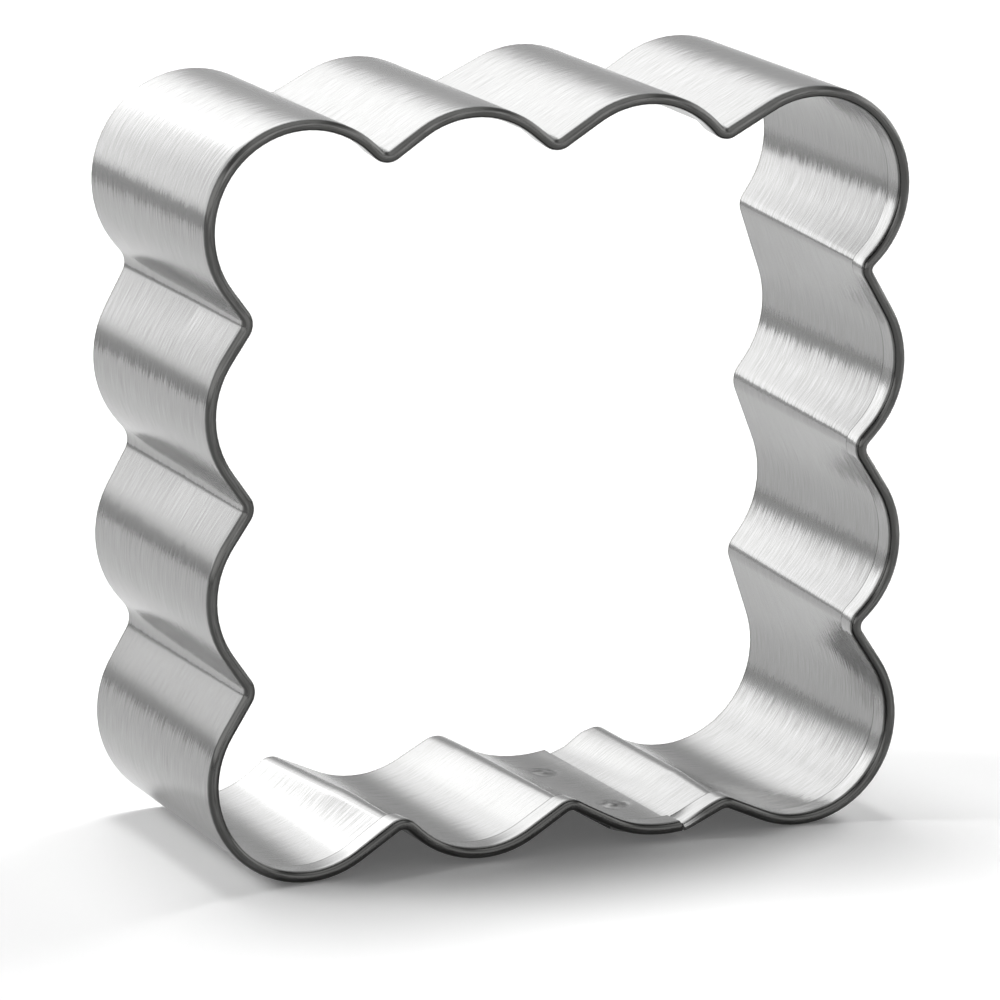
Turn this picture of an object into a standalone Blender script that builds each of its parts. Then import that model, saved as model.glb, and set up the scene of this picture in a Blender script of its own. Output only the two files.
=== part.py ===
"""Fluted square pastry cutter.

One strip of tinplate is bent to twelve lobes with a tight fold between each pair. One long edge is folded
back on itself as a hemmed rim, the other is left bare to cut. The ends of the strip lap in one of the lower
bays, where two spot welds hold them.

The cutter stands on its two lower corner lobes. X runs across, Y from the rim (-Y) to the cutting edge (+Y)
and Z up, with the origin on the ground under the middle. Lengths are in metres.

Lobes and folds are numbered counterclockwise, as seen from the rim, from the left end of the lower side.
Each fold comes before the lobe of its number, and every third lobe is a corner.
"""

import math

import bmesh
import bpy
from mathutils import Matrix, Vector

MM = 0.001

# Strip
SHEET = 0.30 * MM  # thickness of the tinplate
DEPTH = 25.4 * MM  # from the front of the rim to the cutting edge

# Hemmed rim, folded back on the inner side
HEM_THICKNESS = 0.86 * MM
HEM_WIDTH = 2.6 * MM  # from the front of the rim to the cut edge of the flap
FLAP_GAP = 0.06 * MM  # between the cut edge of the flap and the wall

# Outline, at the middle of the sheet
LOBE_RADIUS = 8.2 * MM
FOLD_PITCH = 14.5 * MM  # from one fold to the next along a side
FLANK = 3.55 * MM  # straight run between a lobe and a fold
SIDES_INSET = 0.65 * MM  # how much narrower the cutter is on each side than even spacing makes it
LEVELS_INSET = 0.25 * MM  # the same for the top and the bottom
FOOT_DROP = 0.3 * MM  # how much lower the two lower corner lobes sit, so that they carry the cutter
RIM_FLARE = 0.15 * MM  # how much further out the lobes stand at the rim than at the cutting edge
EDGE_FOLD_RADIUS = 0.65 * MM
RIM_FOLD_RADIUS = 0.9 * MM  # the doubled sheet of the hem folds less sharply
FOLD_OPENS_FROM = 9.0 * MM  # the folds widen towards the rim from this far behind it
FOLD_FILL_RATIO = 0.98  # most of the room between two lobes that the fold between them fills

# Where hand forming left a bend off its even place: (x, z) in mm at the rim, then at the cutting edge
OFF_PLACE = {
    "fold 0": ((1.2, 0.0), (0.0, 0.0)),
    "fold 1": ((1.1, 0.0), (0.0, 0.0)),
    "fold 2": ((0.0, -1.3), (-0.2, -0.5)),
    "fold 3": ((-0.3, 0.0), (-0.7, 0.6)),
    "fold 4": ((0.0, 0.0), (0.0, 0.5)),
    "fold 5": ((0.0, 0.0), (0.0, 0.7)),
    "fold 6": ((-0.4, -0.4), (-0.4, -0.6)),
    "fold 7": ((-0.3, 0.0), (-0.5, 0.0)),
    "fold 9": ((0.0, 0.0), (0.4, 0.2)),
    "fold 10": ((0.0, 0.0), (0.4, 0.3)),
    "fold 11": ((0.0, 0.0), (0.2, 0.2)),
    "lobe 0": ((0.8, 0.0), (0.0, 0.0)),
    "lobe 1": ((1.3, 0.1), (-0.5, 0.0)),
    "lobe 2": ((-0.2, 0.0), (-0.8, 0.0)),
    "lobe 3": ((0.0, -0.2), (-0.3, 0.0)),
    "lobe 4": ((0.2, -0.2), (0.0, 0.0)),
    "lobe 5": ((0.4, -0.4), (0.0, -0.2)),
}

# Lap of the strip's ends, in the bay of lobe 1. Places are lengths along the strip from that lobe's crown
LAP_BAY = 1
OUTER_END = -2.9 * MM  # hidden under the inner end
INNER_END = 3.6 * MM
LAP_GAP = 0.06 * MM  # between the lapped sheets
LAP_SPRING = 0.4 * MM  # how far the inner end stands off past the welds
HEM_START = 0.3 * MM  # the outer end's hem begins this far past the inner end

# Spot welds through both sheets of the lap
WELD_RADIUS = 1.0 * MM
WELD_CLEARANCE = 0.3 * MM  # between a weld and the sheets
WELD_PLACE = 0.9 * MM  # along the strip, from the crown
WELD_FROM_RIM = 8.6 * MM
WELD_FROM_EDGE = 5.7 * MM
WELD_DISH = 0.12 * MM  # how deep the electrodes pressed each face
WELD_LIP = 0.33 * MM  # width of the rim left round a pressed face

# How finely the bends are cut
SIDE_LOBE_STEPS = 6
CORNER_LOBE_STEPS = 15
FOLD_STEPS = 4
HEM_STEPS = 4
LAP_STEPS = 6
SETTLE_STEPS = 3  # from the lap to the fold next to it
WELD_SIDES = 24
SHARP_ANGLE = math.radians(35)

LOBES = 12
LOWEST = -math.pi / 2  # direction of the crown of the lapped bay
ROW_SPACING = 1.5 * FOLD_PITCH
SIDE_LOBE_ROW = ROW_SPACING - SIDES_INSET
LEVEL_LOBE_ROW = ROW_SPACING - LEVELS_INSET
LOBE_TO_FOLD = math.hypot(LOBE_RADIUS + EDGE_FOLD_RADIUS, FLANK)
FOLD_OUT = math.sqrt(LOBE_TO_FOLD**2 - (FOLD_PITCH / 2) ** 2)
HEM_BEND_RADIUS = (HEM_THICKNESS - SHEET) / 2
WALL_ROWS = (
    DEPTH,
    (DEPTH + FOLD_OPENS_FROM) / 2,
    FOLD_OPENS_FROM,
    (FOLD_OPENS_FROM + HEM_WIDTH) / 2,
    HEM_WIDTH,
)
LAP_SHIFT = (SHEET + LAP_GAP) / 2
LAP_THICKNESS = 2 * SHEET + LAP_GAP


def clear_scene():
    for item in list(bpy.data.objects):
        bpy.data.objects.remove(item)


def metal(name, colour, roughness):
    material = bpy.data.materials.new(name)
    material.use_nodes = True
    shader = material.node_tree.nodes["Principled BSDF"]
    shader.inputs["Base Color"].default_value = (*colour, 1.0)
    shader.inputs["Metallic"].default_value = 1.0
    shader.inputs["Roughness"].default_value = roughness
    return material


def ease(share):
    """0 to 1 with a level start and end."""
    share = min(max(share, 0.0), 1.0)
    return share * share * (3 - 2 * share)


def direction(angle):
    return Vector((math.cos(angle), math.sin(angle)))


def angle_of(vector):
    return math.atan2(vector.y, vector.x)


def bend_centres(from_rim):
    """Centres of the lobes and of the folds at one depth, as (x, z) from the middle of the square."""
    flare = RIM_FLARE * (1 - from_rim / DEPTH)
    lobes, folds = [], []
    for side in range(4):
        turn = side * math.pi / 2
        along = direction(turn)
        out = direction(turn - math.pi / 2)
        lobe_row, next_row = LEVEL_LOBE_ROW, SIDE_LOBE_ROW
        if side % 2:
            lobe_row, next_row = next_row, lobe_row
        folds += [along * FOLD_PITCH * step + out * (lobe_row + FOLD_OUT) for step in (-1, 0, 1)]
        lobes += [along * FOLD_PITCH * step + out * (lobe_row + flare) for step in (-0.5, 0.5)]
        corner = along * (next_row + flare) + out * (lobe_row + flare)
        if corner.y < 0:
            corner.y -= FOOT_DROP
        lobes.append(corner)
    for name, (at_rim, at_edge) in OFF_PLACE.items():
        kind, number = name.split()
        moved = Vector(at_rim).lerp(Vector(at_edge), from_rim / DEPTH) * MM
        bends = lobes if kind == "lobe" else folds
        bends[int(number)] += moved
    return lobes, folds


def fold_radii(from_rim, lobes, folds):
    """Radius of each fold at one depth. A fold that its lobes crowd is bent tighter."""
    share = (FOLD_OPENS_FROM - from_rim) / (FOLD_OPENS_FROM - HEM_WIDTH)
    even = EDGE_FOLD_RADIUS + (RIM_FOLD_RADIUS - EDGE_FOLD_RADIUS) * ease(share)
    radii = []
    for number, fold in enumerate(folds):
        room = min((fold - lobe).length for lobe in (lobes[number - 1], lobes[number])) - LOBE_RADIUS
        radii.append(min(even, room * FOLD_FILL_RATIO))
    return radii


class Bay:
    """One lobe at one depth, with the fold before it and the flanks on either side of it."""

    def __init__(self, number, lobes, folds, radii):
        after = (number + 1) % LOBES
        self.centre = lobes[number]
        self.fold = folds[number]
        self.fold_radius = radii[number]
        lean_before, self.flank_before = self.flank(self.fold, self.fold_radius)
        lean_after, self.flank_after = self.flank(folds[after], radii[after])
        self.start = angle_of(self.fold - self.centre) + lean_before
        self.end = angle_of(folds[after] - self.centre) - lean_after
        while self.end < self.start:
            self.end += 2 * math.pi

    def flank(self, fold, radius):
        """Angle at the lobe's centre between the fold and the end of the arc, and the run from there."""
        across = (fold - self.centre).length
        reach = LOBE_RADIUS + radius
        return math.acos(reach / across), math.sqrt(across**2 - reach**2)

    def arc_point(self, share):
        out = direction(self.start + (self.end - self.start) * share)
        return self.centre + out * LOBE_RADIUS, out

    def span(self, crown):
        """Lengths along the strip from the crown back to the fold before and on to the fold after."""
        before = (self.start - crown) * LOBE_RADIUS - self.flank_before
        after = (self.end - crown) * LOBE_RADIUS + self.flank_after
        return before, after

    def point_at(self, length, crown):
        """Point at a length along the strip from the crown, on the arc or on a flank."""
        angle = crown + length / LOBE_RADIUS
        held = min(max(angle, self.start), self.end)
        out = direction(held)
        onwards = Vector((-out.y, out.x)) * (angle - held) * LOBE_RADIUS
        return self.centre + out * LOBE_RADIUS + onwards, out


def bays_at(from_rim):
    lobes, folds = bend_centres(from_rim)
    radii = fold_radii(from_rim, lobes, folds)
    return [Bay(number, lobes, folds, radii) for number in range(LOBES)]


def fold_points(before, after):
    """Points round a fold, from the flank of one bay to the flank of the next."""
    start = before.end + math.pi
    sweep = (before.end - after.start) % (2 * math.pi)
    points = []
    for step in range(FOLD_STEPS + 1):
        out = direction(start - sweep * step / FOLD_STEPS)
        points.append((after.fold + out * after.fold_radius, -out))
    return points


def evenly(start, end, steps):
    return [start + (end - start) * step / steps for step in range(steps + 1)]


def outer_end_points(bay):
    """The outer end of the strip, from its cut edge under the lap to the next fold."""
    until_fold = bay.span(LOWEST)[1]
    lengths = evenly(OUTER_END, INNER_END, LAP_STEPS)
    lengths += evenly(INNER_END + HEM_START, until_fold, SETTLE_STEPS)[:-1]
    points = []
    for length in lengths:
        place, out = bay.point_at(length, LOWEST)
        settled = ease((length - INNER_END) / (until_fold - INNER_END))
        points.append((place + out * LAP_SHIFT * (1 - settled), out))
    return points


def inner_end_points(bay):
    """The inner end of the strip, from the fold before the lap to its cut edge."""
    from_fold = bay.span(LOWEST)[0]
    lengths = evenly(from_fold, OUTER_END, SETTLE_STEPS)[1:]
    lengths += evenly(OUTER_END, INNER_END, LAP_STEPS)[1:]
    weld_end = WELD_PLACE + WELD_RADIUS
    points = []
    for length in lengths:
        place, out = bay.point_at(length, LOWEST)
        aside = LAP_SHIFT * ease((length - from_fold) / (OUTER_END - from_fold))
        past_welds = max(length - weld_end, 0) / (INNER_END - weld_end)
        points.append((place - out * (aside + LAP_SPRING * past_welds**2), out))
    return points


def strip_row(from_rim, offset):
    """The strip at one depth, from its outer end round to its inner end, offset outwards from the wall."""
    bays = bays_at(from_rim)
    placed = outer_end_points(bays[LAP_BAY])
    for count in range(1, LOBES):
        number = (LAP_BAY + count) % LOBES
        bay = bays[number]
        steps = CORNER_LOBE_STEPS if number % 3 == 2 else SIDE_LOBE_STEPS
        placed += fold_points(bays[number - 1], bay)
        placed += [bay.arc_point(step / steps) for step in range(steps + 1)]
    placed += fold_points(bays[LAP_BAY - 1], bays[LAP_BAY])
    placed += inner_end_points(bays[LAP_BAY])
    return [place + out * offset for place, out in placed]


def strip_profile():
    """(distance behind the rim, offset from the wall) along the wall, round the hem and along the flap."""
    profile = [(from_rim, 0.0) for from_rim in WALL_ROWS]
    for step in range(HEM_STEPS + 1):
        angle = math.pi * step / HEM_STEPS
        from_rim = SHEET / 2 + HEM_BEND_RADIUS * (1 - math.sin(angle))
        profile.append((from_rim, -HEM_BEND_RADIUS * (1 - math.cos(angle))))
    profile.append((HEM_WIDTH, -(SHEET + FLAP_GAP)))
    return profile


def strip_mesh():
    """The middle of the sheet: a flat grid bent to the outline and round the hem."""
    profile = strip_profile()
    rows = [strip_row(*place) for place in profile]
    columns = len(rows[0])
    shape = bmesh.new()
    bmesh.ops.create_grid(shape, x_segments=columns - 1, y_segments=len(rows) - 1, size=1)
    shape.verts.ensure_lookup_table()
    for row, (from_rim, _) in enumerate(profile):
        for column, place in enumerate(rows[row]):
            shape.verts[row * columns + column].co = (place.x, from_rim - DEPTH / 2, place.y)
    cut_hem_under_lap(shape, columns)
    bmesh.ops.recalc_face_normals(shape, faces=shape.faces)
    return shape


def cut_hem_under_lap(shape, columns):
    """Takes the hem off the outer end as far as the inner end's hem lies over it."""
    flap_root = len(WALL_ROWS) - 1
    covered = []
    for face in shape.faces:
        rows = [vert.index // columns for vert in face.verts]
        nearest_end = min(vert.index % columns for vert in face.verts)
        if min(rows) >= flap_root and nearest_end <= LAP_STEPS:
            covered.append(face)
    bmesh.ops.delete(shape, geom=covered, context="FACES")


def standing_place(shape):
    """The move that brings the middle over the origin and the lowest side down to the ground."""
    across = [vert.co.x for vert in shape.verts]
    lowest = min(vert.co.z for vert in shape.verts) - SHEET / 2
    return Vector((-(min(across) + max(across)) / 2, 0, -lowest))


def weld_axis(from_rim):
    """Middle of a weld and the direction inwards through the lap, before the cutter is set down."""
    place, out = bays_at(from_rim)[LAP_BAY].point_at(WELD_PLACE, LOWEST)
    return Vector((place.x, from_rim - DEPTH / 2, place.y)), Vector((-out.x, 0, -out.y))


def new_object(name, shape):
    made = bpy.data.objects.new(name, bpy.data.meshes.new(name))
    shape.to_mesh(made.data)
    shape.free()
    bpy.context.scene.collection.objects.link(made)
    return made


def finish(made, material):
    made.data.materials.append(material)
    made.data.shade_smooth()
    made.data.set_sharp_from_angle(angle=SHARP_ANGLE)


def disc(radius, depth):
    shape = bmesh.new()
    bmesh.ops.create_cone(
        shape, cap_ends=True, segments=WELD_SIDES, radius1=radius, radius2=radius, depth=depth
    )
    return shape


def lay_in_lap(made, middle, inward):
    """Sets an object's local Z along the direction through the lap."""
    turn = Vector((0, 0, 1)).rotation_difference(inward).to_matrix().to_4x4()
    made.matrix_world = Matrix.Translation(middle) @ turn


def weld_hole(name, middle, inward):
    """Cutter for the hole that a weld fills."""
    cutter = new_object(name, disc(WELD_RADIUS + WELD_CLEARANCE, 4 * LAP_THICKNESS))
    cutter.hide_render = True
    cutter.display_type = "WIRE"
    lay_in_lap(cutter, middle, inward)
    return cutter


def spot_weld(name, middle, inward, material):
    """A button of fused metal as thick as the lap, with both faces dished by the electrodes."""
    shape = disc(WELD_RADIUS, LAP_THICKNESS)
    for cap in [face for face in shape.faces if len(face.verts) == WELD_SIDES]:
        into = -cap.normal
        bmesh.ops.inset_region(shape, faces=[cap], thickness=WELD_LIP, use_even_offset=True)
        bmesh.ops.translate(shape, verts=cap.verts, vec=into * WELD_DISH)
    made = new_object(name, shape)
    finish(made, material)
    lay_in_lap(made, middle, inward)


def cutter_band(shape, holes, material):
    band = new_object("cutter_band", shape)
    finish(band, material)
    sheet = band.modifiers.new("sheet thickness", "SOLIDIFY")
    sheet.thickness = SHEET
    sheet.offset = 0
    sheet.use_even_offset = True
    sheet.use_quality_normals = True
    for hole in holes:
        cut = band.modifiers.new(hole.name, "BOOLEAN")
        cut.operation = "DIFFERENCE"
        cut.object = hole


def main():
    clear_scene()
    tinplate = metal("bright tinplate", (0.78, 0.78, 0.77), 0.28)
    fused_tinplate = metal("fused tinplate", (0.55, 0.55, 0.54), 0.45)
    shape = strip_mesh()
    move = standing_place(shape)
    bmesh.ops.translate(shape, verts=shape.verts, vec=move)
    weld_places = {"spot_weld_rim_side": WELD_FROM_RIM, "spot_weld_edge_side": DEPTH - WELD_FROM_EDGE}
    holes = []
    for name, from_rim in weld_places.items():
        middle, inward = weld_axis(from_rim)
        spot_weld(name, middle + move, inward, fused_tinplate)
        holes.append(weld_hole(name + "_hole", middle + move, inward))
    cutter_band(shape, holes, tinplate)


main()
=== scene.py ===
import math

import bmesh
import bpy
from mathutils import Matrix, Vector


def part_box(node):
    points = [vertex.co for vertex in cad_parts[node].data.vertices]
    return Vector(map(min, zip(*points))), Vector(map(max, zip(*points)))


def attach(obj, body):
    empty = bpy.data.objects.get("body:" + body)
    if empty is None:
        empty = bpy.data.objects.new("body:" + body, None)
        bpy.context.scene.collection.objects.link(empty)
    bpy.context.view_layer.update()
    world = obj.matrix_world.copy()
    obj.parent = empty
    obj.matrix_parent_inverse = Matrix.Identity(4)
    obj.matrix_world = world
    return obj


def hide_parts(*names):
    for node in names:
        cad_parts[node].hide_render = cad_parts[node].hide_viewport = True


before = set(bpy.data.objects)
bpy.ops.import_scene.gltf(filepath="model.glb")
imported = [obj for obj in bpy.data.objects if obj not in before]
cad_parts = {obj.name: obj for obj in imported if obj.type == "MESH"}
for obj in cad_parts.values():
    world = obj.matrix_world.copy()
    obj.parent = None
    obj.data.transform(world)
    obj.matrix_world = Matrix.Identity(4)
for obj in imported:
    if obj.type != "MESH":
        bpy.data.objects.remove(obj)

# Looks of a fluted square pastry cutter, pressed from one strip of bright tinplate.
#
# The strip is bent to twelve lobes with a tight fold between each pair. One long edge is folded back as a
# hemmed rim, the other is bare. The ends of the strip lap in one of the lower bays, under two spot welds.
#
# X runs across, Y from the rim (-Y) to the cutting edge (+Y) and Z up. Lobes and folds are numbered
# counterclockwise, as seen from the rim, from the left end of the lower side. Each fold comes before the
# lobe of its number, and every third lobe is a corner. Lengths are in metres.

MM = 0.001

# Strip and outline, as in the solids but for the gap of the flap and the wider folds at the cutting edge
SHEET = 0.30 * MM  # thickness of the tinplate
DEPTH = 25.4 * MM  # from the front of the rim to the cutting edge
HEM_THICKNESS = 0.86 * MM
HEM_WIDTH = 2.6 * MM  # from the front of the rim to the cut edge of the flap
FLAP_GAP = 0.14 * MM  # between the cut edge of the flap and the wall
LOBE_RADIUS = 8.2 * MM
FOLD_PITCH = 14.5 * MM  # from one fold to the next along a side
FLANK = 3.55 * MM  # straight run between a lobe and a fold
SIDES_INSET = 0.65 * MM  # how much narrower the cutter is on each side than even spacing makes it
LEVELS_INSET = 0.25 * MM  # the same for the top and the bottom
FOOT_DROP = 0.3 * MM  # how much lower the two lower corner lobes sit, so that they carry the cutter
RIM_FLARE = 0.15 * MM  # how much further out the lobes stand at the rim than at the cutting edge
TIGHT_FOLD_RADIUS = 0.65 * MM  # of the folds that the even spacing is laid out for
RIM_FOLD_RADIUS = 0.9 * MM
EDGE_FOLD_RADIUS = 1.95 * MM
FOLDS_OPEN_OUT = 1.3 * MM  # how much further out the wider folds stand at the cutting edge
FOLD_FILL_RATIO = 0.98  # most of the room between two lobes that the fold between them fills

# Where hand forming left a bend off its even place: (x, z) in mm at the rim, then at the cutting edge
OFF_PLACE = {
    "fold 0": ((1.2, 0.0), (0.0, 0.4)),
    "fold 1": ((1.1, 0.0), (0.0, 0.0)),
    "fold 2": ((0.0, -1.3), (-0.2, -0.1)),
    "fold 3": ((-0.3, 0.0), (-0.7, 0.6)),
    "fold 4": ((0.0, 0.0), (0.0, 0.5)),
    "fold 5": ((0.0, 0.0), (0.0, 0.7)),
    "fold 6": ((-0.4, -0.4), (-0.4, -0.6)),
    "fold 7": ((-0.3, 0.0), (-0.5, 0.0)),
    "fold 9": ((0.0, 0.0), (0.4, 0.2)),
    "fold 10": ((0.0, 0.0), (0.4, 0.3)),
    "fold 11": ((0.0, 0.0), (0.2, 0.2)),
    "lobe 0": ((0.8, 0.0), (0.0, 0.0)),
    "lobe 1": ((1.3, 0.1), (-0.5, 0.0)),
    "lobe 2": ((-0.2, 0.0), (-0.8, 0.0)),
    "lobe 3": ((0.0, -0.2), (-0.3, 0.0)),
    "lobe 4": ((0.2, -0.2), (0.0, 0.0)),
    "lobe 5": ((0.4, -0.4), (0.0, -0.2)),
}

# Lap of the strip's ends, in the bay of lobe 1. Places are lengths along the strip from that lobe's crown
LAP_BAY = 1
OUTER_END = -2.9 * MM
INNER_END_AT_RIM = 2.1 * MM
INNER_END_AT_EDGE = 3.0 * MM
LAP_GAP = 0.06 * MM
UNBENT_FROM = -1.5 * MM  # the inner end was bent less than its bay from here on
UNBENT = 0.3  # how much less, as a share of the bay's bend
HEM_START = 0.25 * MM  # the outer end's hem begins this far past the inner end
HEM_SET_BACK = 0.15 * MM  # how far the outer end's hem is pressed back where it begins
HEM_PRESSED = 0.62  # how thick it is there, as a share of the hem

# The outer end stayed flat under the lap and turns up sharply past it: how far it stands off the even bend
# at the cutting edge, outwards, as (length along the strip from the crown, offset)
KINK = (
    (0.6 * MM, 0.0),
    (3.1 * MM, 0.5 * MM),
    (4.4 * MM, 0.5 * MM),
    (6.8 * MM, 0.0),
)

# Spot welds through both sheets of the lap
WELD_PLACES = {  # along the strip from the crown, and behind the rim
    "spot_weld_rim_side": (0.45 * MM, 8.7 * MM),
    "spot_weld_edge_side": (-0.2 * MM, 19.6 * MM),
}
DISH_RADIUS = 1.15 * MM  # of the hollow pressed into the outside of each weld. Both sheets go in with it
DISH_DEPTH = 0.18 * MM
DISH_LIP = 0.03 * MM  # height of the ring pushed up round a hollow
DISH_LIP_WIDTH = 0.2 * MM
DISH_TILT = 0.5  # how much deeper one side of a hollow is, as the electrode leaned
DISH_TILT_TOWARDS = math.radians(110)
NUGGET_RADIUS = 0.62 * MM
NUGGET_STEP = 0.02 * MM  # how far a button's face steps in at each ring

# How finely the bends are cut
BAY_STEP = 0.7 * MM
FOLD_STEPS = 10
HEM_STEPS = 10
LAP_STEPS = 36
SETTLE_STEPS = 12
WALL_STEP = 0.95 * MM
WELD_STEP = 0.24 * MM
FINE_REACH = 1.5  # how far the finer steps go round a weld, as a share of the hollow's radius
FLAP_STEPS = 3  # along the flap and along the wall behind it

EDGE_BEVEL = 0.05 * MM  # on the sheared edges
EDGE_BEVEL_STEPS = 2
SHARP_ANGLE = math.radians(50)
NUGGET_SIDES = 32
NUGGET_INSETS = (0.3, 0.4)  # each ring of a button's face, as a share of its radius

ROUNDING = 1e-9
LOBES = 12
LOWEST = -math.pi / 2
ROW_SPACING = 1.5 * FOLD_PITCH
SIDE_LOBE_ROW = ROW_SPACING - SIDES_INSET
LEVEL_LOBE_ROW = ROW_SPACING - LEVELS_INSET
LOBE_TO_FOLD = math.hypot(LOBE_RADIUS + TIGHT_FOLD_RADIUS, FLANK)
FOLD_OUT = math.sqrt(LOBE_TO_FOLD**2 - (FOLD_PITCH / 2) ** 2)
HEM_BEND_RADIUS = (HEM_THICKNESS - SHEET) / 2
LAP_SHIFT = (SHEET + LAP_GAP) / 2

# Rolling lines of the tinplate. Their lengths and widths are in mm on the flat strip
FINE_LINE_LENGTH = 2.4
FINE_LINE_WIDTH = 0.13
FINE_LINE_HEIGHT = 0.0013 * MM
BROAD_LINE_LENGTH = 8.0
BROAD_LINE_WIDTH = 0.7
BROAD_LINE_HEIGHT = 0.004 * MM
LINE_TILT = 0.037  # how far each line leans along the strip, which frays the edges of reflections
MARK_CONTRAST = (0.3, 0.7)  # the middle stretch of the noise that a mark's whole range is drawn from
TIN_COLOUR = "#848483"
LINE_COLOUR = "#909090"  # of the brighter lines
CLOUD_COLOUR = "#7E7E7D"  # of dull patches
CLOUD_SIZE = 5.0  # mm
TIN_ROUGHNESS = 0.2
TIN_ANISOTROPY = 0.65
ACROSS_THE_LINES = 0.25  # of a turn, from along the strip to the way its lines spread a reflection

BEND_SHADE_COLOUR = "#454544"  # painted shade on the tight bend at the front of the rim, for the dark that its curve reflects
CREST_HIGHLIGHT_COLOUR = "#5E5E5D"  # painted highlight along its crest
BURR_COLOUR = "#6A6A69"  # of the cutting edge, rolled over where it was sheared
FLAP_EDGE_SHADE_COLOUR = "#4C4C4B"  # painted shade: a dark line along the flap's cut edge, for the shadow line at the gap behind it
BURNT_COLOUR = "#1E1D1C"  # of the marks that the electrodes burned
BURNT_RADIUS = 1.1 * MM
BURNT_FADE = 0.45 * MM
BURNT_SHIFT = Vector((0.1, 0.35, 0.0)) * MM  # the electrodes burned most on their far side
BURNT_PATCH_LENGTH = 0.8  # mm, as the rolling lines are
BURNT_PATCH_WIDTH = 0.5
FUSED_COLOUR = "#7C7B79"
FUSED_ROUGHNESS = 0.45
PIT_SIZE = 0.25 * MM
PIT_DEPTH = 0.02 * MM

# Soft panels behind the cutter, facing it. Each is its distance, its reach in x and z, how bright it is and
# its edges. An edge is (across, up, outside, inside): the panel fades in where x * across + z * up goes from
# outside to inside. Lengths are in mm
PANELS = {
    "tall_panel": (
        500,
        (-115, 430),
        (60, 460),
        2.65,
        ((1, -1.26, -70, -330), (1, 0, -105, -70), (0, 1, 60, 95), (0, 1, 455, 380)),
    ),
    "near_panel": (
        230,
        (-105, -10),
        (38, 200),
        3.2,
        ((1, 0, -103, -91), (1, 0, -11, -47), (0, 1, 43, 51), (0, 1, 195, 150), (1, -1, -252, -196)),
    ),
    "side_panel": (
        225,
        (-230, -80),
        (38, 210),
        1.15,
        ((1, 0, -85, -101), (1, 0, -225, -190), (0, 1, 43, 51), (0, 1, 205, 60)),
    ),
}

# One wide panel, stood at the sides and in front for the cutter's other views: its distance and reach, its
# edges, and each place as how far it is turned from behind the cutter, in degrees, and how bright it is
FILL_PANEL = (560, (-560, 560), (20, 640))
FILL_EDGES = ((1, 0, -560, -420), (1, 0, 560, 420), (0, 1, 25, 130), (0, 1, 640, 300))
FILL_PLACES = {
    "left_fill": (90, 2.4),
    "front_fill": (180, 1.4),
    "right_fill": (270, 2.4),
}

# A panel over the cutter, laid out as if it stood behind it and then tipped up. Its values are as above
CEILING = (620, (-450, 450), (-450, 450), 1.5, ((1, 0, -450, -150), (1, 0, 450, 150), (0, 1, -450, -250)))
CEILING_TILT = math.radians(90)

# Cards low behind the cutter, which draw the darker line under the panels along its bends: the distance, the
# reach in x and z, and how bright it is
CARDS = {
    "dark_card": (232, (-240, -108), (9, 42), 0.6),
    "pale_card": (234, (-108, 60), (1, 40), 0.95),
}

# Three soft lights overhead and a little behind, that draw the shadow out in front. Each is its tilt to
# the right, its lean to the back and how wide it is, in degrees, and its strength
FLOOR_LIGHTS = {
    "left_floor_light": (-47, 25, 30, 1.5),
    "middle_floor_light": (0, 14, 22, 1.25),
    "right_floor_light": (47, 25, 30, 1.5),
}
ROOM_SEEN = 0.66  # how bright the room is to the eye and in the metal
ROOM_ON_FLOOR = 0.15  # how much of it lights the floor
FLOOR_SIZE = 6.0
FLOOR_COLOUR = "#FFFFFF"
FLOOR_GLOW = 0.08  # lifts the deepest shadow a little

# Where the rim bend's painted shade, its crest's painted highlight, the cutting edge and the painted shade
# line along the flap's cut edge are across the flat strip.
# Each is where it starts, where it ends and the fade past them, in mm
BEND_START = (DEPTH - SHEET / 2 - HEM_BEND_RADIUS) / MM
BEND_END = BEND_START + math.pi * HEM_BEND_RADIUS / MM
BEND_SHADE = (BEND_START - 0.08, BEND_END + 0.12, 0.15)
PRESSED = (5.2, 8.2)  # the lengths of strip over which the bend of the outer end's hem is pressed open, and the bend's painted shade fades in
CREST_HIGHLIGHT = ((BEND_START + BEND_END) / 2 - 0.12, (BEND_START + BEND_END) / 2, 0.1)
BURR = (-0.2, 0.12, 0.12)
FLAP_END = BEND_END + (HEM_WIDTH - SHEET / 2 - HEM_BEND_RADIUS) / MM
FLAP_EDGE_SHADE = (FLAP_END - 0.06, FLAP_END + 0.3, 0.1)

# Camera, fitted to the cutter's outline in the photograph
CAMERA_AZIMUTH = math.radians(-23.38)
CAMERA_ELEVATION = math.radians(13.39)
CAMERA_ROLL = math.radians(0.12)
CAMERA_DISTANCE = 602.3 * MM
CAMERA_TARGET = Vector((0.01, 0.0, 25.89)) * MM
CAMERA_LENS = 272.35  # mm
CAMERA_SENSOR = 36  # mm
CAMERA_SEES = (0.01, 20)  # from and to, in metres


def ease(share):
    """0 to 1 with a level start and end."""
    share = min(max(share, 0.0), 1.0)
    return share * share * (3 - 2 * share)


def between(start, end, share):
    return start + (end - start) * share


def direction(angle):
    return Vector((math.cos(angle), math.sin(angle)))


def angle_of(vector):
    return math.atan2(vector.y, vector.x)


def evenly(start, end, steps):
    return [start + (end - start) * step / steps for step in range(steps + 1)]


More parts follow.
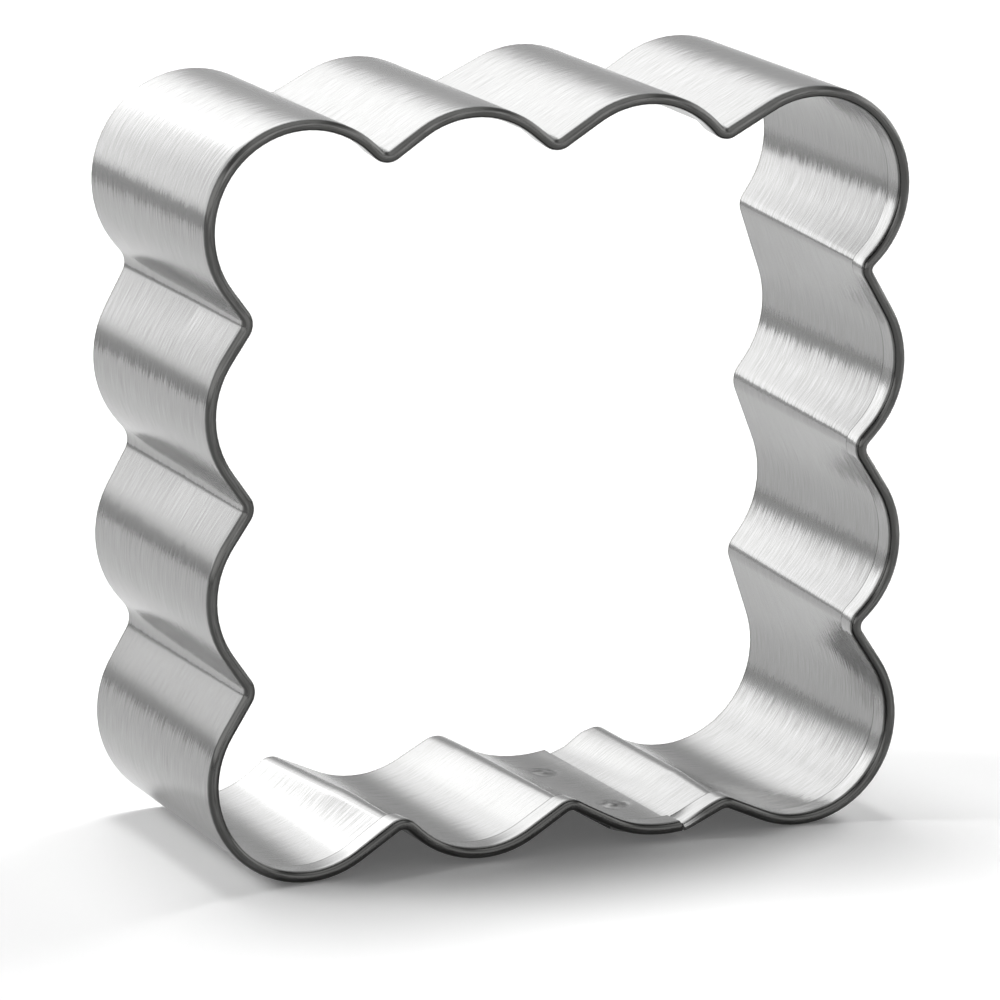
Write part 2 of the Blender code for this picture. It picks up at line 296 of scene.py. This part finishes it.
def bend_centres(from_rim):
    """Centres of the lobes and of the folds at one depth, as (x, z) from the middle of the square."""
    flare = RIM_FLARE * (1 - from_rim / DEPTH)
    fold_out = FOLD_OUT + FOLDS_OPEN_OUT * from_rim / DEPTH
    lobes, folds = [], []
    for side in range(4):
        turn = side * math.pi / 2
        along = direction(turn)
        out = direction(turn - math.pi / 2)
        lobe_row, next_row = LEVEL_LOBE_ROW, SIDE_LOBE_ROW
        if side % 2:
            lobe_row, next_row = next_row, lobe_row
        folds += [along * FOLD_PITCH * step + out * (lobe_row + fold_out) for step in (-1, 0, 1)]
        lobes += [along * FOLD_PITCH * step + out * (lobe_row + flare) for step in (-0.5, 0.5)]
        corner = along * (next_row + flare) + out * (lobe_row + flare)
        if corner.y < 0:
            corner.y -= FOOT_DROP
        lobes.append(corner)
    for name, (at_rim, at_edge) in OFF_PLACE.items():
        kind, number = name.split()
        moved = Vector(at_rim).lerp(Vector(at_edge), from_rim / DEPTH) * MM
        bends = lobes if kind == "lobe" else folds
        bends[int(number)] += moved
    return lobes, folds


def fold_radii(from_rim, lobes, folds):
    """Radius of each fold at one depth. A fold that its lobes crowd is bent tighter."""
    even = between(RIM_FOLD_RADIUS, EDGE_FOLD_RADIUS, from_rim / DEPTH)
    radii = []
    for number, fold in enumerate(folds):
        room = min((fold - lobe).length for lobe in (lobes[number - 1], lobes[number])) - LOBE_RADIUS
        radii.append(min(even, room * FOLD_FILL_RATIO))
    return radii


class Bay:
    """One lobe at one depth, with the fold before it and the flanks on either side of it."""

    def __init__(self, number, lobes, folds, radii):
        after = (number + 1) % LOBES
        self.centre = lobes[number]
        self.fold = folds[number]
        self.fold_radius = radii[number]
        lean_before, self.flank_before = self.flank(self.fold, self.fold_radius)
        lean_after, self.flank_after = self.flank(folds[after], radii[after])
        self.start = angle_of(self.fold - self.centre) + lean_before
        self.end = angle_of(folds[after] - self.centre) - lean_after
        while self.end < self.start:
            self.end += 2 * math.pi
        self.crown = LOWEST if number == LAP_BAY else (self.start + self.end) / 2

    def flank(self, fold, radius):
        """Angle at the lobe's centre between the fold and the end of the arc, and the run from there."""
        across = (fold - self.centre).length
        reach = LOBE_RADIUS + radius
        return math.acos(reach / across), math.sqrt(across**2 - reach**2)

    def span(self):
        """Lengths along the strip from the crown back to the fold before and on to the fold after."""
        before = (self.start - self.crown) * LOBE_RADIUS - self.flank_before
        after = (self.end - self.crown) * LOBE_RADIUS + self.flank_after
        return before, after

    def point_at(self, length):
        """Point at a length along the strip from the crown, on the arc or on a flank."""
        angle = self.crown + length / LOBE_RADIUS
        held = min(max(angle, self.start), self.end)
        out = direction(held)
        onwards = Vector((-out.y, out.x)) * (angle - held) * LOBE_RADIUS
        return self.centre + out * LOBE_RADIUS + onwards, out


def bays_at(from_rim):
    lobes, folds = bend_centres(from_rim)
    radii = fold_radii(from_rim, lobes, folds)
    return [Bay(number, lobes, folds, radii) for number in range(LOBES)]


def fold_points(before, after):
    """Points round a fold, between the flank of one bay and the flank of the next."""
    start = before.end + math.pi
    sweep = (before.end - after.start) % (2 * math.pi)
    points = []
    for angle in evenly(start, start - sweep, FOLD_STEPS)[1:-1]:
        out = direction(angle)
        points.append((after.fold + out * after.fold_radius, -out))
    return points


def dish(length, from_rim):
    """How far a place in the lap is pressed inwards. The lip round a hollow counts as less than none."""
    deepest = 0.0
    for along, behind in WELD_PLACES.values():
        away = Vector((length - along, from_rim - behind))
        share = away.length / DISH_RADIUS
        lean = 1 + DISH_TILT * share * math.cos(angle_of(away) - DISH_TILT_TOWARDS)
        lip = math.exp(-(((away.length - DISH_RADIUS) / DISH_LIP_WIDTH) ** 2))
        deepest += DISH_DEPTH * (1 - ease(share)) * lean - DISH_LIP * lip / lean
    return deepest


def inner_end(from_rim):
    """Length from the crown to the cut edge of the inner end, which isn't quite square to the strip."""
    return between(INNER_END_AT_RIM, INNER_END_AT_EDGE, from_rim / DEPTH)


def kink(length, from_rim):
    """How far the outer end stands off the even bend."""
    for (start, first), (end, last) in zip(KINK, KINK[1:]):
        if start <= length <= end:
            return between(first, last, ease((length - start) / (end - start))) * ease(from_rim / DEPTH)
    return 0.0


def outer_end_points(bay, from_rim):
    """The outer end of the strip, from its cut edge under the lap to the next fold."""
    until_fold = bay.span()[1]
    lap_end = inner_end(from_rim)
    lengths = evenly(OUTER_END, lap_end, LAP_STEPS)
    lengths += evenly(lap_end + HEM_START, until_fold, SETTLE_STEPS)
    points = []
    for length in lengths:
        place, out = bay.point_at(length)
        settled = ease((length - lap_end) / (until_fold - lap_end))
        aside = LAP_SHIFT * (1 - settled) - dish(length, from_rim) + kink(length, from_rim)
        points.append((place + out * aside, out))
    return points


def inner_end_points(bay, from_rim):
    """The inner end of the strip, from the fold before the lap to its cut edge."""
    from_fold = bay.span()[0]
    lap_end = inner_end(from_rim)
    lengths = evenly(from_fold, OUTER_END, SETTLE_STEPS)
    lengths += evenly(OUTER_END, lap_end, LAP_STEPS)[1:]
    points = []
    for length in lengths:
        place, out = bay.point_at(length)
        aside = LAP_SHIFT * ease((length - from_fold) / (OUTER_END - from_fold))
        aside -= UNBENT * max(length - UNBENT_FROM, 0) ** 2 / (2 * LOBE_RADIUS)
        aside += dish(length, from_rim)
        points.append((place - out * aside, out))
    return points


def strip_row(from_rim):
    """The wall at one depth as (place, outward direction), from its outer end round to its inner end."""
    bays = bays_at(from_rim)
    placed = outer_end_points(bays[LAP_BAY], from_rim)
    for count in range(1, LOBES):
        number = (LAP_BAY + count) % LOBES
        bay = bays[number]
        steps = BAY_STEPS[number]
        placed += fold_points(bays[number - 1], bay)
        placed += [bay.point_at(length) for length in evenly(*bay.span(), steps)]
    placed += fold_points(bays[LAP_BAY - 1], bays[LAP_BAY])
    placed += inner_end_points(bays[LAP_BAY], from_rim)
    return placed


def steps_in_bays():
    """How many steps each bay takes, the same at every depth."""
    counts = []
    for bay in bays_at(DEPTH / 2):
        before, after = bay.span()
        counts.append(round((after - before) / BAY_STEP))
    return counts


BAY_STEPS = steps_in_bays()


def wall_rows():
    """Distances behind the rim from the cutting edge to the flap, closer together across the welds."""
    stops = [DEPTH]
    for middle in sorted((behind for _, behind in WELD_PLACES.values()), reverse=True):
        stops += [middle + FINE_REACH * DISH_RADIUS, middle - FINE_REACH * DISH_RADIUS]
    stops.append(HEM_WIDTH)
    rows = []
    for number, (start, end) in enumerate(zip(stops, stops[1:])):
        step = WELD_STEP if number % 2 else WALL_STEP
        rows += evenly(start, end, round((start - end) / step))[:-1]
    return rows + [HEM_WIDTH]


def strip_profile():
    """(distance behind the rim, offset from the wall) along the wall, round the hem and along the flap."""
    profile = [(from_rim, 0.0) for from_rim in wall_rows()]
    bend_end = SHEET / 2 + HEM_BEND_RADIUS
    profile += [(from_rim, 0.0) for from_rim in evenly(HEM_WIDTH, bend_end, FLAP_STEPS)[1:-1]]
    for angle in evenly(0, math.pi, HEM_STEPS):
        from_rim = SHEET / 2 + HEM_BEND_RADIUS * (1 - math.sin(angle))
        profile.append((from_rim, -HEM_BEND_RADIUS * (1 - math.cos(angle))))
    flap_end = -(SHEET + FLAP_GAP)
    for from_rim in evenly(bend_end, HEM_WIDTH, FLAP_STEPS)[1:]:
        share = (from_rim - bend_end) / (HEM_WIDTH - bend_end)
        profile.append((from_rim, between(-2 * HEM_BEND_RADIUS, flap_end, share)))
    return profile


def pressed_hem(from_rim, offset, column):
    """The hem of the outer end, pressed thin and set back where it begins."""
    past = max(column - LAP_STEPS, 0) / SETTLE_STEPS
    full = ease(past)
    reach = max(1 - from_rim / HEM_WIDTH, 0)
    return from_rim + HEM_SET_BACK * (1 - full) * reach, offset * between(HEM_PRESSED, 1, full)


def strip_mesh():
    """The middle of the sheet: a flat grid bent to the outline and round the hem."""
    profile = strip_profile()
    rows = [strip_row(from_rim) for from_rim, _ in profile]
    columns = len(rows[0])
    shape = bmesh.new()
    bmesh.ops.create_grid(shape, x_segments=columns - 1, y_segments=len(profile) - 1, size=1)
    shape.verts.ensure_lookup_table()
    pressed_columns = LAP_STEPS + SETTLE_STEPS
    for row, (from_rim, offset) in enumerate(profile):
        for column, (place, out) in enumerate(rows[row]):
            behind, aside = from_rim, offset
            if column <= pressed_columns and from_rim < HEM_WIDTH:
                behind, aside = pressed_hem(from_rim, offset, column)
            bent = place + out * aside
            shape.verts[row * columns + column].co = (bent.x, behind - DEPTH / 2, bent.y)
    lay_out_strip(shape, rows, profile)
    cut_hem_under_lap(shape, columns, profile)
    bmesh.ops.recalc_face_normals(shape, faces=shape.faces)
    return shape


def lay_out_strip(shape, rows, profile):
    """UV map of the flat strip, in millimetres: along the strip, then across it from the cutting edge."""
    middle = rows[len(rows) // 2]
    along = [0.0]
    for (place, _), (following, _) in zip(middle, middle[1:]):
        along.append(along[-1] + (following - place).length / MM)
    across = [0.0]
    for place, following in zip(profile, profile[1:]):
        across.append(across[-1] + math.dist(place, following) / MM)
    flat = shape.loops.layers.uv.new("strip")
    columns = len(along)
    for face in shape.faces:
        for loop in face.loops:
            row, column = divmod(loop.vert.index, columns)
            loop[flat].uv = (along[column], across[row])


def cut_hem_under_lap(shape, columns, profile):
    """Takes the hem off the outer end as far as the inner end's hem lies over it."""
    flap_root = min(row for row, (from_rim, _) in enumerate(profile) if from_rim <= HEM_WIDTH + ROUNDING)
    covered = []
    for face in shape.faces:
        rows = [vert.index // columns for vert in face.verts]
        nearest_end = min(vert.index % columns for vert in face.verts)
        if min(rows) >= flap_root and nearest_end <= LAP_STEPS:
            covered.append(face)
    bmesh.ops.delete(shape, geom=covered, context="FACES")


def standing_place(shape):
    """The move that brings the strip over its solid, with its lowest side on the ground."""
    low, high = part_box("cutter_band")
    across = [vert.co.x for vert in shape.verts]
    lowest = min(vert.co.z for vert in shape.verts) - SHEET / 2
    return Vector(((low.x + high.x) / 2 - (min(across) + max(across)) / 2, 0, low.z - lowest))


def new_object(name, shape):
    made = bpy.data.objects.new(name, bpy.data.meshes.new(name))
    shape.to_mesh(made.data)
    shape.free()
    bpy.context.scene.collection.objects.link(made)
    return made


def make_band():
    shape = strip_mesh()
    move = standing_place(shape)
    bmesh.ops.translate(shape, verts=shape.verts, vec=move)
    band = new_object("tinplate_band", shape)
    band.data.shade_smooth()
    sheet = band.modifiers.new("sheet thickness", "SOLIDIFY")
    sheet.thickness = SHEET
    sheet.offset = 0
    sheet.use_even_offset = True
    sheet.use_quality_normals = True
    edges = band.modifiers.new("sheared edges", "BEVEL")
    edges.limit_method = "ANGLE"
    edges.angle_limit = SHARP_ANGLE
    edges.width = EDGE_BEVEL
    edges.segments = EDGE_BEVEL_STEPS
    edges.harden_normals = True
    return band, move


def weld_place(along, behind, move):
    """The middle of a weld and the direction inwards from the wall there."""
    place, out = bays_at(behind)[LAP_BAY].point_at(along)
    return Vector((place.x, behind - DEPTH / 2, place.y)) + move, Vector((-out.x, 0, -out.y))


def fused_spot(name, middle, inward):
    """The metal fused between the electrodes: a button that joins both sheets and lies under their faces."""
    thickness = 2 * SHEET + LAP_GAP - 2 * (DISH_DEPTH - NUGGET_STEP)
    shape = bmesh.new()
    bmesh.ops.create_cone(
        shape,
        cap_ends=True,
        segments=NUGGET_SIDES,
        radius1=NUGGET_RADIUS,
        radius2=NUGGET_RADIUS,
        depth=thickness,
    )
    for cap in [face for face in shape.faces if len(face.verts) > 4]:
        into = -cap.normal
        for share in NUGGET_INSETS:
            bmesh.ops.inset_region(shape, faces=[cap], thickness=NUGGET_RADIUS * share, use_even_offset=True)
            bmesh.ops.translate(shape, verts=cap.verts, vec=into * NUGGET_STEP)
    turn = Vector((0, 0, 1)).rotation_difference(inward).to_matrix().to_4x4()
    bmesh.ops.transform(shape, matrix=Matrix.Translation(middle) @ turn, verts=shape.verts)
    spot = new_object(name, shape)
    spot.data.shade_smooth()
    spot.data.set_sharp_from_angle(angle=SHARP_ANGLE)
    return spot


def linear(hex_colour):
    """An sRGB hex colour as linear red, green, blue and alpha."""
    values = [int(hex_colour[place : place + 2], 16) / 255 for place in (1, 3, 5)]
    values = [v / 12.92 if v <= 0.04045 else ((v + 0.055) / 1.055) ** 2.4 for v in values]
    return (*values, 1.0)


def add_node(tree, kind, inputs, **settings):
    """Adds a node. An input is a value or the output that feeds it."""
    node = tree.nodes.new(kind)
    for name, value in settings.items():
        setattr(node, name, value)
    for socket, value in inputs.items():
        if isinstance(value, bpy.types.NodeSocket):
            tree.links.new(value, node.inputs[socket])
        else:
            node.inputs[socket].default_value = value
    return node


def within(tree, value, start, end, fade):
    """A mask that is 1 between two places across the strip and fades to 0 past them."""
    rise = add_node(
        tree,
        "ShaderNodeMapRange",
        {"Value": value, "From Min": start - fade, "From Max": start},
        interpolation_type="SMOOTHSTEP",
    ).outputs["Result"]
    fall = add_node(
        tree,
        "ShaderNodeMapRange",
        {"Value": value, "From Min": end, "From Max": end + fade, "To Min": 1.0, "To Max": 0.0},
        interpolation_type="SMOOTHSTEP",
    ).outputs["Result"]
    return add_node(tree, "ShaderNodeMath", {0: rise, 1: fall}, operation="MULTIPLY").outputs[0]


def lines(tree, strip, length, width):
    """Soft random marks of one length and width on the flat strip, in mm."""
    drawn = add_node(
        tree, "ShaderNodeMapping", {"Vector": strip, "Scale": (1 / length, 1 / width, 1)}
    ).outputs["Vector"]
    noise = add_node(
        tree, "ShaderNodeTexNoise", {"Vector": drawn, "Scale": 1.0, "Detail": 2.0}, noise_dimensions="2D"
    ).outputs["Fac"]
    least, most = MARK_CONTRAST
    return add_node(
        tree, "ShaderNodeMapRange", {"Value": noise, "From Min": least, "From Max": most}
    ).outputs["Result"]


def blended(tree, share, first, last):
    """Two colours mixed by a share, each a value or the output that feeds it."""
    mix = add_node(tree, "ShaderNodeMix", {"Factor": share, "A": first, "B": last}, data_type="RGBA")
    return mix.outputs["Result"]


def burnt_marks(tree, strip, weld_middles):
    """A mask of the patchy marks that the electrodes burned round the welds."""
    place = add_node(tree, "ShaderNodeTexCoord", {}).outputs["Object"]
    marked = 0.0
    for middle in weld_middles:
        away = add_node(
            tree, "ShaderNodeVectorMath", {0: place, 1: middle + BURNT_SHIFT}, operation="DISTANCE"
        ).outputs["Value"]
        mark = add_node(
            tree,
            "ShaderNodeMapRange",
            {"Value": away, "From Min": BURNT_RADIUS + BURNT_FADE, "From Max": BURNT_RADIUS - BURNT_FADE},
            interpolation_type="SMOOTHSTEP",
        ).outputs["Result"]
        marked = add_node(tree, "ShaderNodeMath", {0: mark, 1: marked}, operation="MAXIMUM").outputs[0]
    patches = lines(tree, strip, BURNT_PATCH_LENGTH, BURNT_PATCH_WIDTH)
    return add_node(tree, "ShaderNodeMath", {0: marked, 1: patches}, operation="MULTIPLY").outputs[0]


def brushed_tinplate(weld_middles):
    """Bright tinplate, cold rolled and tinned: a satin grey metal whose fine rolling lines run along the
    strip. They draw its reflections out across the strip and fray their edges."""
    material = bpy.data.materials.new("bright_tinplate")
    material.use_nodes = True
    tree = material.node_tree
    shader = tree.nodes["Principled BSDF"]
    strip = add_node(tree, "ShaderNodeUVMap", {}, uv_map="strip").outputs["UV"]
    fine_lines = lines(tree, strip, FINE_LINE_LENGTH, FINE_LINE_WIDTH)
    broad_lines = lines(tree, strip, BROAD_LINE_LENGTH, BROAD_LINE_WIDTH)
    clouds = lines(tree, strip, CLOUD_SIZE, CLOUD_SIZE)
    lean = add_node(
        tree,
        "ShaderNodeMapRange",
        {"Value": fine_lines, "To Min": 0.5 - LINE_TILT / 2, "To Max": 0.5 + LINE_TILT / 2},
    ).outputs["Result"]
    leaning = add_node(tree, "ShaderNodeCombineXYZ", {"X": lean, "Y": 0.5, "Z": 1.0}).outputs["Vector"]
    leaning = add_node(
        tree, "ShaderNodeNormalMap", {"Color": leaning, "Strength": 1.0}, uv_map="strip"
    ).outputs["Normal"]
    fine_bump = add_node(
        tree,
        "ShaderNodeBump",
        {"Height": fine_lines, "Strength": 1.0, "Distance": FINE_LINE_HEIGHT, "Normal": leaning},
    ).outputs["Normal"]
    bump = add_node(
        tree,
        "ShaderNodeBump",
        {"Height": broad_lines, "Strength": 1.0, "Distance": BROAD_LINE_HEIGHT, "Normal": fine_bump},
    ).outputs["Normal"]
    along = add_node(
        tree, "ShaderNodeTangent", {}, direction_type="UV_MAP", uv_map="strip"
    ).outputs["Tangent"]
    length, across, _ = add_node(tree, "ShaderNodeSeparateXYZ", {"Vector": strip}).outputs
    # Painted shade on the rim's rolled bend, faded out where the outer end's hem is pressed open
    bent = within(tree, across, *BEND_SHADE)
    unpressed = add_node(
        tree,
        "ShaderNodeMapRange",
        {"Value": length, "From Min": PRESSED[0], "From Max": PRESSED[1]},
        interpolation_type="SMOOTHSTEP",
    ).outputs["Result"]
    bent = add_node(tree, "ShaderNodeMath", {0: bent, 1: unpressed}, operation="MULTIPLY").outputs[0]
    # Painted highlight along the crest of the rim's bend, broken up by the fine lines
    crest_highlight = within(tree, across, *CREST_HIGHLIGHT)
    crest_highlight = add_node(tree, "ShaderNodeMath", {0: crest_highlight, 1: fine_lines}, operation="MULTIPLY").outputs[0]
    tin = blended(tree, broad_lines, linear(TIN_COLOUR), linear(CLOUD_COLOUR))
    tin = blended(tree, clouds, tin, linear(TIN_COLOUR))
    tin = blended(tree, fine_lines, tin, linear(LINE_COLOUR))
    # Painted shade darkens the rim's bend
    tin = blended(tree, bent, tin, linear(BEND_SHADE_COLOUR))
    # Painted highlight on the bend's crest
    tin = blended(tree, crest_highlight, tin, linear(CREST_HIGHLIGHT_COLOUR))
    tin = blended(tree, within(tree, across, *BURR), tin, linear(BURR_COLOUR))
    # Painted shade line along the flap's cut edge
    tin = blended(tree, within(tree, across, *FLAP_EDGE_SHADE), tin, linear(FLAP_EDGE_SHADE_COLOUR))
    tin = blended(tree, burnt_marks(tree, strip, weld_middles), tin, linear(BURNT_COLOUR))
    tree.links.new(tin, shader.inputs["Base Color"])
    shader.inputs["Metallic"].default_value = 1.0
    shader.inputs["Roughness"].default_value = TIN_ROUGHNESS
    shader.inputs["Anisotropic"].default_value = TIN_ANISOTROPY
    shader.inputs["Anisotropic Rotation"].default_value = ACROSS_THE_LINES
    tree.links.new(bump, shader.inputs["Normal"])
    tree.links.new(along, shader.inputs["Tangent"])
    return material


def fused_tinplate():
    """Tin and steel melted together under the electrodes: duller and darker than the sheet, and pitted."""
    material = bpy.data.materials.new("fused_tinplate")
    material.use_nodes = True
    tree = material.node_tree
    shader = tree.nodes["Principled BSDF"]
    place = add_node(tree, "ShaderNodeTexCoord", {}).outputs["Object"]
    pits = add_node(
        tree, "ShaderNodeTexNoise", {"Vector": place, "Scale": 1 / PIT_SIZE, "Detail": 2.0}
    ).outputs["Fac"]
    bump = add_node(tree, "ShaderNodeBump", {"Height": pits, "Strength": 1.0, "Distance": PIT_DEPTH})
    shader.inputs["Base Color"].default_value = linear(FUSED_COLOUR)
    shader.inputs["Metallic"].default_value = 1.0
    shader.inputs["Roughness"].default_value = FUSED_ROUGHNESS
    tree.links.new(bump.outputs["Normal"], shader.inputs["Normal"])
    return material


def make_camera():
    eye = bpy.data.objects.new("camera", bpy.data.cameras.new("camera"))
    bpy.context.scene.collection.objects.link(eye)
    bpy.context.scene.camera = eye
    eye.data.lens = CAMERA_LENS
    eye.data.sensor_width = CAMERA_SENSOR
    eye.data.clip_start, eye.data.clip_end = CAMERA_SEES
    level = math.cos(CAMERA_ELEVATION)
    back = Vector(
        (math.sin(CAMERA_AZIMUTH) * level, -math.cos(CAMERA_AZIMUTH) * level, math.sin(CAMERA_ELEVATION))
    )
    turn = back.to_track_quat("Z", "Y").to_matrix().to_4x4()
    place = CAMERA_TARGET + back * CAMERA_DISTANCE
    eye.matrix_world = Matrix.Translation(place) @ turn @ Matrix.Rotation(CAMERA_ROLL, 4, "Z")


def facing_panel(made, distance, reach_x, reach_z, turn):
    """Stands a lamp or a card behind the cutter, facing it, turns it round the cutter and hides it from the
    camera."""
    middle = Vector((sum(reach_x) / 2, distance, sum(reach_z) / 2)) * MM
    upright = Vector((0, 1, 0)).to_track_quat("Z", "Y").to_matrix().to_4x4()
    made.matrix_world = turn @ Matrix.Translation(middle) @ upright
    made.visible_camera = False
    made.visible_diffuse = False
    made.visible_shadow = False


def soft_edges(lamp, edges, turn):
    """Lets a panel fade towards its edges, as a lit cloth does."""
    lamp.use_nodes = True
    tree = lamp.node_tree
    place = add_node(tree, "ShaderNodeNewGeometry", {}).outputs["Position"]
    lit = 1.0
    for across, up, outside, inside in edges:
        inwards = turn @ Vector((across, 0, up))
        along = add_node(
            tree, "ShaderNodeVectorMath", {0: place, 1: inwards}, operation="DOT_PRODUCT"
        ).outputs["Value"]
        edge = add_node(
            tree,
            "ShaderNodeMapRange",
            {"Value": along, "From Min": outside * MM, "From Max": inside * MM},
            interpolation_type="SMOOTHSTEP",
        ).outputs["Result"]
        lit = add_node(tree, "ShaderNodeMath", {0: edge, 1: lit}, operation="MULTIPLY").outputs[0]
    tree.links.new(lit, tree.nodes["Emission"].inputs["Strength"])


def soft_panel(name, distance, reach_x, reach_z, radiance, edges, turn):
    """A soft panel that only the metal's reflections see, so that the floor stays evenly lit."""
    lamp = bpy.data.lights.new(name, "AREA")
    lamp.shape = "RECTANGLE"
    lamp.size = (reach_x[1] - reach_x[0]) * MM
    lamp.size_y = (reach_z[1] - reach_z[0]) * MM
    lamp.energy = radiance * math.pi * lamp.size * lamp.size_y
    soft_edges(lamp, edges, turn)
    panel = bpy.data.objects.new(name, lamp)
    bpy.context.scene.collection.objects.link(panel)
    facing_panel(panel, distance, reach_x, reach_z, turn)


def low_card(name, distance, reach_x, reach_z, radiance):
    shape = bmesh.new()
    bmesh.ops.create_grid(shape, x_segments=1, y_segments=1, size=0.5)
    bmesh.ops.scale(
        shape,
        vec=((reach_x[1] - reach_x[0]) * MM, (reach_z[1] - reach_z[0]) * MM, 1),
        verts=shape.verts,
    )
    card = new_object(name, shape)
    facing_panel(card, distance, reach_x, reach_z, Matrix())
    material = bpy.data.materials.new(name)
    material.use_nodes = True
    shader = material.node_tree.nodes["Principled BSDF"]
    shader.inputs["Base Color"].default_value = (0, 0, 0, 1)
    shader.inputs["Specular IOR Level"].default_value = 0.0
    shader.inputs["Emission Color"].default_value = (1, 1, 1, 1)
    shader.inputs["Emission Strength"].default_value = radiance
    card.data.materials.append(material)


def floor_light(name, tilt, lean, width, strength):
    lamp = bpy.data.lights.new(name, "SUN")
    lamp.energy = strength
    lamp.angle = math.radians(width)
    sun = bpy.data.objects.new(name, lamp)
    bpy.context.scene.collection.objects.link(sun)
    towards = Vector((math.tan(math.radians(tilt)), math.tan(math.radians(lean)), 1))
    sun.rotation_euler = towards.to_track_quat("Z", "Y").to_euler()
    sun.visible_glossy = False


def make_lights():
    for name, panel in PANELS.items():
        soft_panel(name, *panel, Matrix())
    for name, (degrees, strength) in FILL_PLACES.items():
        turn = Matrix.Rotation(math.radians(degrees), 4, "Z")
        soft_panel(name, *FILL_PANEL, strength, FILL_EDGES, turn)
    soft_panel("ceiling", *CEILING, Matrix.Rotation(CEILING_TILT, 4, "X"))
    for name, light in FLOOR_LIGHTS.items():
        floor_light(name, *light)


def make_world():
    """A pale room. Less of it reaches the floor, so that the cutter's shadow keeps its depth."""
    world = bpy.data.worlds.new("studio")
    bpy.context.scene.world = world
    world.use_nodes = True
    tree = world.node_tree
    path = add_node(tree, "ShaderNodeLightPath", {}).outputs
    seen = add_node(
        tree, "ShaderNodeMath", {0: path["Is Camera Ray"], 1: path["Is Glossy Ray"]}, operation="MAXIMUM"
    ).outputs[0]
    seen = add_node(
        tree, "ShaderNodeMath", {0: seen, 1: path["Is Transmission Ray"]}, operation="MAXIMUM"
    ).outputs[0]
    strength = add_node(
        tree, "ShaderNodeMapRange", {"Value": seen, "To Min": ROOM_ON_FLOOR, "To Max": ROOM_SEEN}
    ).outputs["Result"]
    tree.links.new(strength, tree.nodes["Background"].inputs["Strength"])
    tree.nodes["Background"].inputs["Color"].default_value = (1, 1, 1, 1)


def make_floor():
    shape = bmesh.new()
    bmesh.ops.create_grid(shape, x_segments=1, y_segments=1, size=FLOOR_SIZE / 2)
    floor = new_object("floor", shape)
    material = bpy.data.materials.new("white_table")
    material.use_nodes = True
    shader = material.node_tree.nodes["Principled BSDF"]
    shader.inputs["Base Color"].default_value = linear(FLOOR_COLOUR)
    shader.inputs["Roughness"].default_value = 1.0
    shader.inputs["Specular IOR Level"].default_value = 0.0
    shader.inputs["Emission Color"].default_value = (1, 1, 1, 1)
    shader.inputs["Emission Strength"].default_value = FLOOR_GLOW
    floor.data.materials.append(material)


def main():
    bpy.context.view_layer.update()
    band, move = make_band()
    welds = {node: weld_place(along, behind, move) for node, (along, behind) in WELD_PLACES.items()}
    band.data.materials.append(brushed_tinplate([middle for middle, _ in welds.values()]))
    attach(band, "root")
    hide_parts("cutter_band")
    fused = fused_tinplate()
    for node, (middle, inward) in welds.items():
        spot = fused_spot("fused_" + node, middle, inward)
        spot.data.materials.append(fused)
        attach(spot, "root")
        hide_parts(node)
    make_camera()
    make_floor()
    for name, card in CARDS.items():
        low_card(name, *card)
    make_lights()
    make_world()
    bpy.context.scene.view_settings.view_transform = "Standard"


main()
